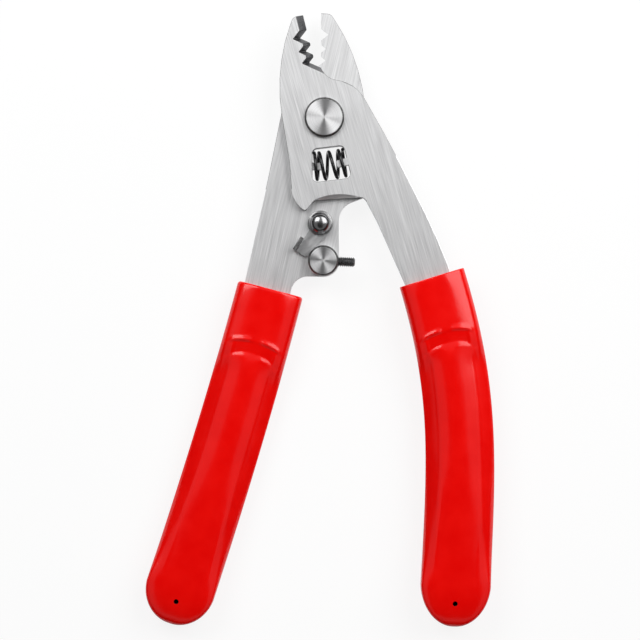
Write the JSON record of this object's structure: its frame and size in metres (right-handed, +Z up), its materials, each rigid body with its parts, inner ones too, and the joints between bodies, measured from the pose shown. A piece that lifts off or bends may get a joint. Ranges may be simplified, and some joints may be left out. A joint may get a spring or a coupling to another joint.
{
  "type": "fibre stripper",
  "caption": "Plier-shaped fibre stripper with notched bypass jaws, a return spring in a window, a turning lock latch, a stop screw and sleeve grips.",
  "frame": {"origin": "on the pivot axis, at the flat back of the pivot nut, which is the plane the tool lies on", "axes": "+Y towards the tips of the jaws, +X to the side of the curved grip, +Z up out of the front lever"},
  "size_m": [0.094, 0.1653, 0.0121],
  "materials": {
    "steel": "brushed",
    "turned_steel": "turned",
    "black_steel": "black oxide",
    "dark_chrome": "polished",
    "red_vinyl": "gloss"
  },
  "bodies": {
    "back_half": {"back_lever": "steel", "back_grip": "red_vinyl", "pivot_bolt": "turned_steel", "pivot_washer": "steel", "pivot_nut": "steel", "return_spring": "black_steel", "latch_rivet": "dark_chrome", "latch_washer": "steel", "stop_post": "turned_steel"},
    "front_half": {"front_lever": "steel", "front_grip": "red_vinyl"},
    "latch": {"lock_latch": "steel"},
    "adjuster": {"stop_screw": "black_steel"}
  },
  "joints": [
    {"name": "lever_pivot", "type": "hinge", "parent": "back_half", "child": "front_half", "pos_m": [0, 0, 0], "axis": [0, 0, -1], "range_deg": [0, 14], "stiffness_Nm_per_rad": 1.5, "springref_deg": -8.59, "deforming": ["return_spring"]},
    {"name": "latch_pivot", "type": "hinge", "parent": "back_half", "child": "latch", "pos_m": [-0.0011, -0.0284, 0], "axis": [0, 0, -1], "range_deg": [0, 72]},
    {"name": "stop_adjust", "type": "slide", "parent": "back_half", "child": "adjuster", "axis": [0.9986, -0.0523, 0], "range_m": [-0.001, 0]}
  ]
}
